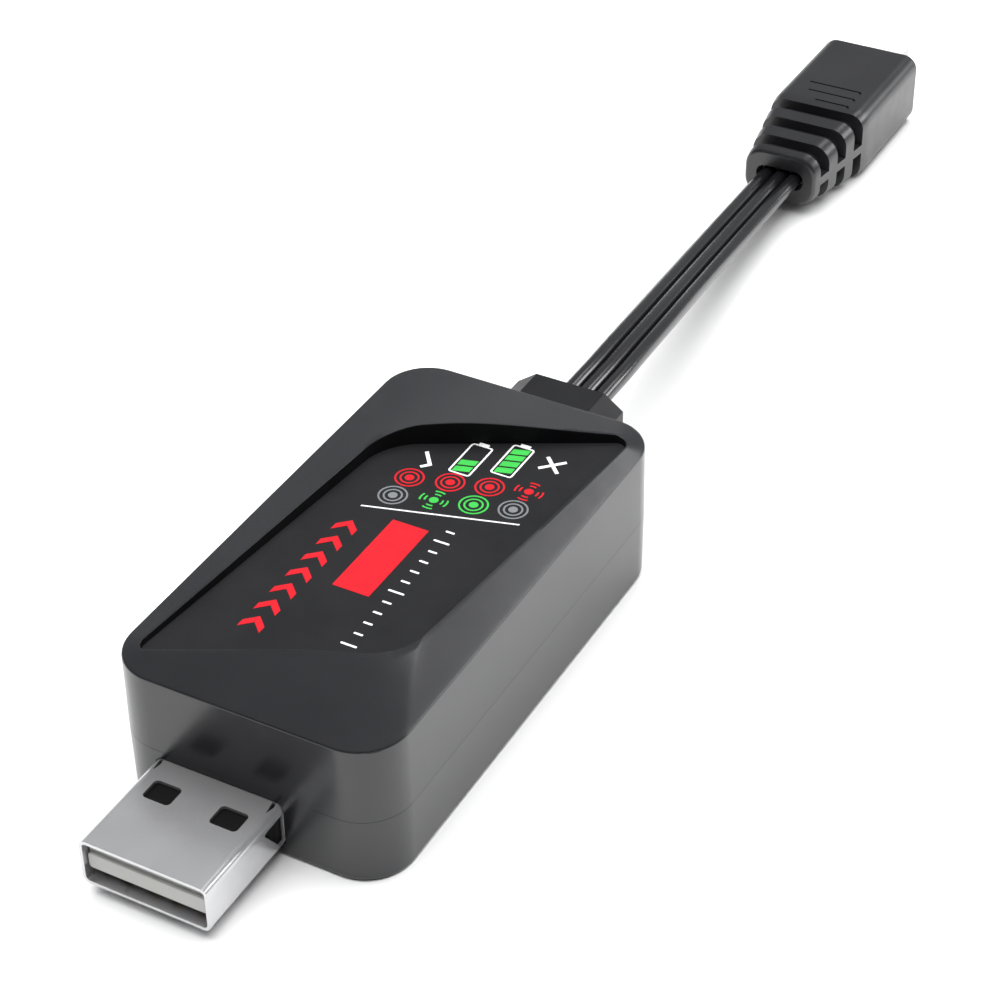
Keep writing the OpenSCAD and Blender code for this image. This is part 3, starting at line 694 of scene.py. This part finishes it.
plug_tube = mesh_of(
    "plug_shell",
    [
        plug_loop(0, plug_front), plug_loop(0, plug_high.y),
        plug_loop(plug_sheet, plug_high.y), plug_loop(plug_sheet, plug_front),
    ],
    closed=True,
)
plug_cuts = []
slit_points = ((0.02, -1.35), (0.19, -0.5), (0.12, 0.02), (-0.19, 0.02), (-0.12, -0.5))
notch_points = ((0.02, 1.3), (-2.8, 1.3), (-0.6, -1.7), (0.02, -1.7))
for side in (-1, 1):
    window = rectangle(*window_size, mm(0.4), arc_steps=5, side_steps=1)
    plug_cuts.append(prism(
        "window", moved(window, plug_x + side * mm(3.15), window_y), -mm(1), mm(8), "z"
    ))
    slit = [Vector(mm(x, y, 0).xy) for x, y in slit_points]
    plug_cuts.append(prism(
        "slit", moved(slit, plug_x + side * (plug_w / 2 - mm(0.65)), shell_low.y),
        plug_z + mm(0.9), mm(3), "z",
    ))
    notch = [Vector(mm(y, z, 0).xy) for y, z in notch_points]
    notch = outline(notch, [mm(0.02), mm(0.2), mm(0.3), mm(0.02)], arc_steps=5, side_steps=1)
    plug_cuts.append(prism(
        "notch", moved(notch, shell_low.y, plug_z), plug_x + side * plug_w / 2 - mm(0.5), mm(1), "x"
    ))
plug_shell = add_piece("plug_shell", cut_out(plug_tube, *plug_cuts), plug_steel)
smoothed(plug_shell, mm(0.06))
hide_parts("usb_shell")
leg_y = plug_high.y - mm(1.7)
leg_section = rectangle(plug_sheet, mm(1.6), mm(0.03), arc_steps=1, side_steps=1)
plug_legs = add_piece("plug_legs", mesh_of("plug_legs", *[
    [
        at_height(moved(leg_section, plug_x + side * (plug_w - plug_sheet) / 2, leg_y), z)
        for z in (plug_z + mm(1), plug_high.z)
    ]
    for side in (-1, 1)
]), plug_steel)


# ---- USB plug: insulator and contacts ----
# The tongue is moulded nylon. Its colour is painted: pale grey in front as painted light, and black
# behind as painted shade, so that the plug's windows look dark. Its front end has a brim that
# reaches down, with a fine step across it. Four gilt springs lie under the tongue.
insulator_lit_and_shaded, insulator_tree, insulator_shader = new_material("insulator")
insulator_break = add_node(insulator_tree, "ShaderNodeSeparateXYZ", {
    "Vector": add_node(insulator_tree, "ShaderNodeTexCoord").outputs["Object"],
})
# The nylon's colour is split along the plug. Painted light makes the front pale grey, and painted
# shade makes the part behind black where it shows through the windows.
insulator_light_shade_split = add_node(insulator_tree, "ShaderNodeMapRange", {
    "Value": insulator_break.outputs["Y"],
    "From Min": plug_front + mm(3.4), "From Max": plug_front + mm(3.5),
    "To Min": 0.7, "To Max": 0.3,
})
insulator_painted_shade, insulator_painted_light = (0.006, 0.006, 0.006), (0.50, 0.50, 0.48)
insulator_tree.links.new(
    shades(insulator_tree, insulator_light_shade_split.outputs["Result"], insulator_painted_shade, insulator_painted_light),
    insulator_shader.inputs["Base Color"],
)
insulator_tree.links.new(
    spread(insulator_tree, speckle(insulator_tree, mm(0.3)), 0.6, 0.75),
    insulator_shader.inputs["Roughness"],
)
insulator_shader.inputs["Specular IOR Level"].default_value = 0.2


def tongue_loop(y, low, trim=0.0, high=plug_z + plug_h / 2 - plug_sheet - mm(0.1)):
    """The tongue's outline across its length, from a height up to the inside of the shell."""
    width = plug_w - 2 * plug_sheet - mm(0.2) - 2 * trim
    ring = rectangle(width, high - low, mm(0.3) - trim, arc_steps=4, side_steps=2)
    return [Vector((p.x, y, p.y)) for p in moved(ring, plug_x, (high + low) / 2)]


tongue_low = plug_z + mm(0.05)
brim_low = plug_z - mm(0.9)
step_z = plug_z + mm(0.65)
tongue_front = plug_front + mm(0.4)
tongue_root = shell_low.y - mm(1.6)
brim_round = mm(0.06)
step_back, brim_back = tongue_front + mm(0.38), tongue_front + mm(0.6)
base_low, base_back = plug_z - mm(1.85), plug_high.y - mm(0.4)
insulator = add_piece("plug_insulator", mesh_of("plug_insulator", [
    tongue_loop(tongue_front + mm(0.05), brim_low + brim_round, brim_round, step_z - brim_round),
    tongue_loop(tongue_front + mm(0.11), brim_low, 0.0, step_z),
    tongue_loop(step_back, brim_low, 0.0, step_z), tongue_loop(step_back, brim_low),
    tongue_loop(brim_back, brim_low), tongue_loop(brim_back, tongue_low),
    tongue_loop(tongue_root, tongue_low), tongue_loop(tongue_root, base_low),
    tongue_loop(base_back, base_low),
]), insulator_lit_and_shaded)
smoothed(insulator)
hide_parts("usb_insulator")
gilt = metal("gilt", (0.72, 0.50, 0.20), (0.86, 0.63, 0.30), (0.22, 0.34), mm(0.2), (1, 0.2, 1))
carried("usb_contacts", gilt)


# ---- cable gland ----
# The gland is a black PVC block moulded on to the three wires. A flange inside the back wall and
# an eight-sided collar outside it hold it in the neck slot between the shells.
gland_black = moulded(
    "gland_black", (0.008, 0.008, 0.009), (0.011, 0.011, 0.012),
    (0.42, 0.5), mm(0.2), mm(0.003), 0.35,
)
gland_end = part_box("cable_gland")[1].y


def gland_loop(y, width, height, chamfer):
    """Eight points round the gland at one place along it."""
    x, z = width / 2, height / 2
    across, down = chamfer
    ring = (
        (-x + across, -z), (x - across, -z), (x, -z + down), (x, z - down),
        (x - across, z), (-x + across, z), (-x, z - down), (-x, -z + down),
    )
    return [Vector((gland_x + a, y, gland_z + b)) for a, b in ring]


flange_size = mm(9.1), mm(4.1), (mm(0.4), mm(0.4))
neck_size = mm(7.3), mm(3.5), (mm(0.4), mm(0.4))
collar_size = mm(10.8), mm(6.4), (mm(1.9), mm(1.4))
inner_face = shell_high.y - housing_wall
flange_t, wall_gap, bore_gap = mm(2.2), mm(0.02), mm(0.02)
flange_back, collar_front = inner_face - wall_gap, shell_high.y + wall_gap
gland_mesh = mesh_of("gland", [
    gland_loop(inner_face - flange_t, *flange_size), gland_loop(flange_back, *flange_size),
    gland_loop(flange_back, *neck_size), gland_loop(collar_front, *neck_size),
    gland_loop(collar_front, *collar_size), gland_loop(gland_end, *collar_size),
])
gland_bores = [
    prism(
        "bore", moved(disc(wire_d / 2 + bore_gap, 24), gland_x + k * wire_pitch, gland_z),
        inner_face - mm(3), mm(12), "y",
    )
    for k in (-1, 0, 1)
]
gland = add_piece("gland", cut_out(gland_mesh, *gland_bores), gland_black)
smoothed(gland, mm(0.12))
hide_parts("cable_gland")


# ---- connector body ----
# The body is black PVC moulded round the wires, with soft edges. It tapers towards the cable,
# where three slots let it bend; a web at mid-height joins the ribs. The top has three fine
# grooves, each with a small hooked end.
connector_low, connector_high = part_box("connector_body")
connector_x = (connector_low.x + connector_high.x) / 2
connector_z = connector_high.z / 2
connector_rear, connector_front = connector_low.y, connector_high.y
taper = mm(11.4)
connector_full = connector_high.x - connector_low.x, connector_high.z - connector_low.z
connector_small = mm(8.3), mm(5.8)
corner_full, corner_small = mm(1.65), mm(2.2)


def connector_section(y, inset):
    """Width, height and corner radii of the connector at a place along it, moved inwards."""
    t = min(1, max(0, (y - connector_rear) / taper))
    width, height = [
        small + (full - small) * t - 2 * inset
        for small, full in zip(connector_small, connector_full)
    ]
    radius = max(corner_small + (corner_full - corner_small) * t - inset * 0.6, mm(0.5))
    return width, height, [radius] * 4


def connector_ring(y, inset=0.0):
    """The connector's outline across its length, starting at the lower left."""
    width, height, radii = connector_section(y, inset)
    x, z = width / 2, height / 2
    corners = [Vector(p) for p in ((-x, -z), (x, -z), (x, z), (-x, z))]
    return moved(outline(corners, radii, arc_steps=10, side_steps=10), connector_x, connector_z)


def connector_loop(y, inset=0.0):
    """The connector's outline at a place along it, as points in space."""
    return [Vector((p.x, y, p.y)) for p in connector_ring(y, inset)]


def rounded_end(end, way, radius, angle):
    """A loop in the rounding of an end: way is 1 for the rear end and -1 for the front."""
    return connector_loop(
        end + way * radius * (1 - math.sin(angle)), radius * (1 - math.cos(angle))
    )


end_arc = [math.radians(a) for a in (0, 22.5, 45, 67.5, 90)]
rear_round, front_round = mm(0.35), mm(0.4)
connector_mesh = mesh_of("connector_body", [
    *[rounded_end(connector_rear, 1, rear_round, a) for a in reversed(end_arc)],
    *[connector_loop(connector_rear + taper * t) for t in (0.2, 0.4, 0.6, 0.8, 0.97, 1.03)],
    connector_loop((connector_rear + connector_front) / 2),
    *[rounded_end(connector_front, -1, front_round, a) for a in end_arc],
])
slot_w, slot_pitch, slot_depth = mm(1.8), mm(3.55), mm(1.1)
web = mm(0.5)


points_under_web, points_over_web = slice(0, 31), slice(40, 71)
least_rise = mm(0.002)


def slot_cutter(start, upper):
    """What one half of a slot takes away outside the core, above or below the web."""
    sign, reach = (1 if upper else -1), mm(9)
    edge = connector_z + sign * web
    far = connector_z + sign * mm(8)
    first, last = connector_x + sign * reach, connector_x - sign * reach
    loops = []
    for y in (start, start + slot_w):
        core = connector_ring(y, slot_depth)[points_over_web if upper else points_under_web]
        row = [(core[0].x, edge)]
        for k, point in enumerate(core):
            rise = max((point.y - edge) * sign, least_rise * (1 + k))
            row.append((point.x, edge + sign * rise))
        row += [(core[-1].x, edge), (last, edge), (last, far), (first, far), (first, edge)]
        loops.append([Vector((x, y, z)) for x, z in row])
    return mesh_of("slot", loops)


first_slot = connector_rear + mm(1.3)
connector_cuts = [
    slot_cutter(first_slot + slot_pitch * k, upper) for k in range(3) for upper in (True, False)
]


def hollow_loop(depth, width, height):
    """The hollow that takes the wires, at a depth behind the rear face."""
    ring = rectangle(width, height, height * 0.45, arc_steps=8, side_steps=4)
    return [
        Vector((p.x, connector_rear + depth, p.y)) for p in moved(ring, connector_x, connector_z)
    ]


connector_cuts.append(mesh_of("hollow", [
    hollow_loop(mm(-0.2), mm(5.8), mm(2.5)), hollow_loop(mm(0.15), mm(5.4), mm(2.15)),
    hollow_loop(mm(0.5), mm(5.15), mm(1.95)), hollow_loop(mm(1.15), mm(5.0), mm(1.8)),
]))
mark_end, mark_depth = connector_x + mm(2.95), mm(0.2)
first_mark, mark_pitch = connector_rear + mm(11.5), mm(1.85)
hook = ((0, -0.12), (0.25, -0.5), (0.42, -0.38), (0.22, 0.05))
for row, length in enumerate((3.8, 5.4, 6.0)):
    mark_y = first_mark + mark_pitch * row
    groove = ((0, 0.12), (-length, 0.12), (-length, -0.12), *hook)
    connector_cuts.append(prism(
        "mark", [Vector((mark_end + mm(a), mark_y + mm(b))) for a, b in reversed(groove)],
        connector_high.z - mark_depth, mm(1), "z",
    ))
connector_black = moulded(
    "connector_black", (0.0115, 0.0115, 0.0130), (0.0145, 0.0145, 0.0160),
    (0.31, 0.36), mm(0.2), mm(0.0045), 0.75,
)
connector_body = add_piece(
    "connector_body_piece", cut_out(connector_mesh, *connector_cuts), connector_black
)
smoothed(connector_body, mm(0.1), 40)
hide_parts("connector_body")


# ---- connector nose and what is inside ----
# The nose is white nylon with three square holes, each with a gilt socket at its end. The wires
# run through the body, and their bare cores go into the nose.
nose_low, nose_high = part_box("connector_nose")
white_nylon = moulded(
    "white_nylon", (0.58, 0.58, 0.56), (0.63, 0.63, 0.61), (0.42, 0.5), mm(0.2), mm(0.003), 0.4
)
nose_size = nose_high - nose_low
nose_section = rectangle(nose_size.x, nose_size.z, mm(0.25), arc_steps=4, side_steps=1)
nose_mesh = prism(
    "nose", moved(nose_section, connector_x, connector_z), nose_low.y, nose_size.y, "y"
)
socket_w, socket_depth = mm(0.9), mm(6)
socket_section = rectangle(socket_w, socket_w, mm(0.05), arc_steps=1, side_steps=1)
socket_holes = [
    prism(
        "socket", moved(socket_section, connector_x + k * wire_pitch, connector_z),
        nose_high.y - socket_depth, mm(7), "y",
    )
    for k in (-1, 0, 1)
]
connector_nose = add_piece("connector_nose_piece", cut_out(nose_mesh, *socket_holes), white_nylon)
smoothed(connector_nose, mm(0.08))
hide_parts("connector_nose")
connector_inner = [
    carried("connector_contacts", gilt),
    carried("connector_leads", wire_jacket),
]


# ---- status lights ----
# Two 3 mm lights with tinted epoxy bodies look out of holes in the left wall. Each has a domed
# end, a flange at the back and two square tinned pins bent down to the board.
def turned(name, profile, place):
    """A round piece turned about an X axis, from (distance along, radius) pairs."""
    return mesh_of(name, [
        [Vector((d, p.x, p.y)) + place for p in disc(radius, 40)] for d, radius in profile
    ])


lens_r, lens_flange_r = mm(1.5), mm(1.85)
lens_profile = [
    (lens_r * (1 - math.cos(a)), lens_r * math.sin(a))
    for a in (math.radians(2 + 11 * k) for k in range(9))
]
lens_profile += [(mm(4.3), lens_r), (mm(4.3), lens_flange_r), (mm(5.3), lens_flange_r)]
for node, colour, light_y in (
    ("red_status_led", (0.55, 0.02, 0.02), light_places[0]),
    ("green_status_led", (0.03, 0.42, 0.08), light_places[1]),
):
    dull = tuple(c * 0.8 for c in colour)
    tint = moulded(node + "_lens", dull, colour, (0.12, 0.2), mm(0.4), mm(0.002), 0.6, mm(1))
    tint.node_tree.nodes["Principled BSDF"].inputs["Transmission Weight"].default_value = 0.35
    tip = Vector((shell_low.x + mm(0.02), light_y, light_z))
    body = turned(node + "_lens", lens_profile, tip)
    lens_piece = smoothed(add_piece(node + "_lens", body, tint))
    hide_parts(node)
tinned = metal("tinned", (0.55, 0.55, 0.56), (0.70, 0.70, 0.71), (0.25, 0.42), mm(0.3))
carried("led_leads", tinned)


# ---- circuit board ----
# The board is glass-fibre laminate under green solder mask, with pale copper runs showing faintly
# through it. Four posts of the shells clamp it at its corners.
board_material, board_tree, board_shader = new_material("board")
board_weave = add_node(board_tree, "ShaderNodeTexWave", {
    "Vector": add_node(board_tree, "ShaderNodeTexCoord").outputs["Object"],
    "Scale": 260.0, "Distortion": 1.5, "Detail": 2.0,
})
board_tree.links.new(
    shades(board_tree, board_weave.outputs["Fac"], (0.010, 0.085, 0.035), (0.018, 0.12, 0.05)),
    board_shader.inputs["Base Color"],
)
board_tree.links.new(
    spread(board_tree, speckle(board_tree, mm(0.8)), 0.3, 0.42), board_shader.inputs["Roughness"]
)
carried("circuit_board", board_material)


# ---- chips and their leads ----
# The charge controller and the balance controller are eight-pin chips in black moulded epoxy.
# The transistors and the two diodes are the same kind of epoxy.
epoxy = moulded(
    "epoxy", (0.014, 0.014, 0.015), (0.022, 0.022, 0.023), (0.5, 0.6), mm(0.12), mm(0.006), 0.4
)
for name in ("charge_controller", "balance_controller", "balance_transistors", "rectifier_diodes"):
    carried(name, epoxy)
carried("controller_leads", tinned)


# ---- coil ----
# The step-down coil is enamelled copper wire wound on a dark ferrite drum.
ferrite = moulded(
    "ferrite", (0.045, 0.045, 0.048), (0.075, 0.075, 0.08), (0.6, 0.75), mm(0.15), mm(0.01), 0.4
)
carried("inductor_core", ferrite)
winding, winding_tree, winding_shader = new_material("winding")
winding_turns = add_node(winding_tree, "ShaderNodeTexWave", {
    "Vector": add_node(winding_tree, "ShaderNodeTexCoord").outputs["Object"],
    "Scale": 900.0, "Distortion": 0.3,
}, bands_direction="Z")
winding_tree.links.new(
    shades(winding_tree, winding_turns.outputs["Fac"], (0.25, 0.07, 0.02), (0.62, 0.24, 0.10)),
    winding_shader.inputs["Base Color"],
)
winding_shader.inputs["Metallic"].default_value = 1
winding_shader.inputs["Roughness"].default_value = 0.35
carried("inductor_coil", winding)


# ---- smoothing capacitor ----
# The bulk capacitor is a drawn aluminium can standing on a square plastic base.
can_metal = metal(
    "can_metal", (0.62, 0.63, 0.65), (0.74, 0.75, 0.77), (0.25, 0.36), mm(0.2), (1, 1, 0.1)
)
carried("bulk_capacitor", can_metal)


# ---- small chip parts ----
# The resistors are dark glass on ceramic and the capacitors tan ceramic, with tinned ends.
resistor_glass = moulded(
    "resistor_glass", (0.02, 0.022, 0.026), (0.035, 0.04, 0.045), (0.25, 0.4), mm(0.2), mm(0.003)
)
tan_ceramic = moulded(
    "tan_ceramic", (0.36, 0.22, 0.11), (0.46, 0.29, 0.16), (0.4, 0.55), mm(0.2), mm(0.004)
)
carried("bleed_resistors", resistor_glass)
carried("chip_resistors", resistor_glass)
carried("ceramic_capacitors", tan_ceramic)


# ---- wires inside the housing and solder ----
# The three wires turn down inside the back wall; their tinned copper cores go through the board.
# Every pin and core ends in a small cone of solder.
copper = metal("copper", (0.58, 0.27, 0.14), (0.74, 0.36, 0.2), (0.3, 0.45), mm(0.2))
solder = metal("solder", (0.50, 0.51, 0.53), (0.66, 0.67, 0.69), (0.3, 0.5), mm(0.3))
carried("inner_wires", wire_jacket)
carried("wire_cores", copper)
carried("solder_joints", solder)


# ---- studio ----
# A pale floor under a broad soft light overhead, which doesn't mirror in the black plastic. Two
# small soft lights behind draw the highlights along the edges, and the sky is darker in front.
world = bpy.data.worlds.new("studio")
world.use_nodes = True
sky = world.node_tree
sky_place = add_node(sky, "ShaderNodeSeparateXYZ", {
    "Vector": add_node(sky, "ShaderNodeTexCoord").outputs["Generated"],
})
sky_shade = add_node(sky, "ShaderNodeMapRange", {
    "Value": sky_place.outputs["Y"],
    "From Min": -0.3, "From Max": 0.8, "To Min": 0.06, "To Max": 0.34,
})
sky.links.new(sky_shade.outputs["Result"], sky.nodes["Background"].inputs["Strength"])
sky.nodes["Background"].inputs["Color"].default_value = (0.94, 0.96, 1, 1)
bpy.context.scene.world = world
bpy.context.scene.view_settings.view_transform = "Standard"


def softbox(name, place, size, power, aim=(0, 0.03, 0)):
    """A square area light that faces the charger."""
    light = bpy.data.lights.new(name, "AREA")
    light.shape = "RECTANGLE"
    light.size, light.size_y = size
    light.energy = power
    lamp = bpy.data.objects.new(name, light)
    lamp.location = place
    lamp.rotation_euler = (Vector(place) - Vector(aim)).to_track_quat("Z", "Y").to_euler()
    bpy.context.scene.collection.objects.link(lamp)
    return lamp


overhead = softbox("overhead", (-0.05, 0.05, 0.9), (1.2, 1.2), 24)
overhead.visible_glossy = False
softbox("back", (0.14, 0.8, 0.8), (0.3, 0.25), 0.95)
softbox("back_right", (0.66, 0.77, 0.43), (0.4, 0.35), 3)

floor_material, floor_tree, floor_shader = new_material("floor")
floor_tree.links.new(
    shades(floor_tree, speckle(floor_tree, 0.2), (0.80, 0.80, 0.80), (0.82, 0.82, 0.82)),
    floor_shader.inputs["Base Color"],
)
floor_shader.inputs["Roughness"].default_value = 0.7
floor_shader.inputs["Specular IOR Level"].default_value = 0.2
floor_mesh = bpy.data.meshes.new("floor")
reach = 2
floor_corners = [(-reach, -reach, 0), (reach, -reach, 0), (reach, reach, 0), (-reach, reach, 0)]
floor_mesh.from_pydata(floor_corners, [], [(0, 1, 2, 3)])
floor = bpy.data.objects.new("floor", floor_mesh)
floor.location.z = shell_low.z - mm(0.01)
floor_mesh.materials.append(floor_material)
bpy.context.scene.collection.objects.link(floor)
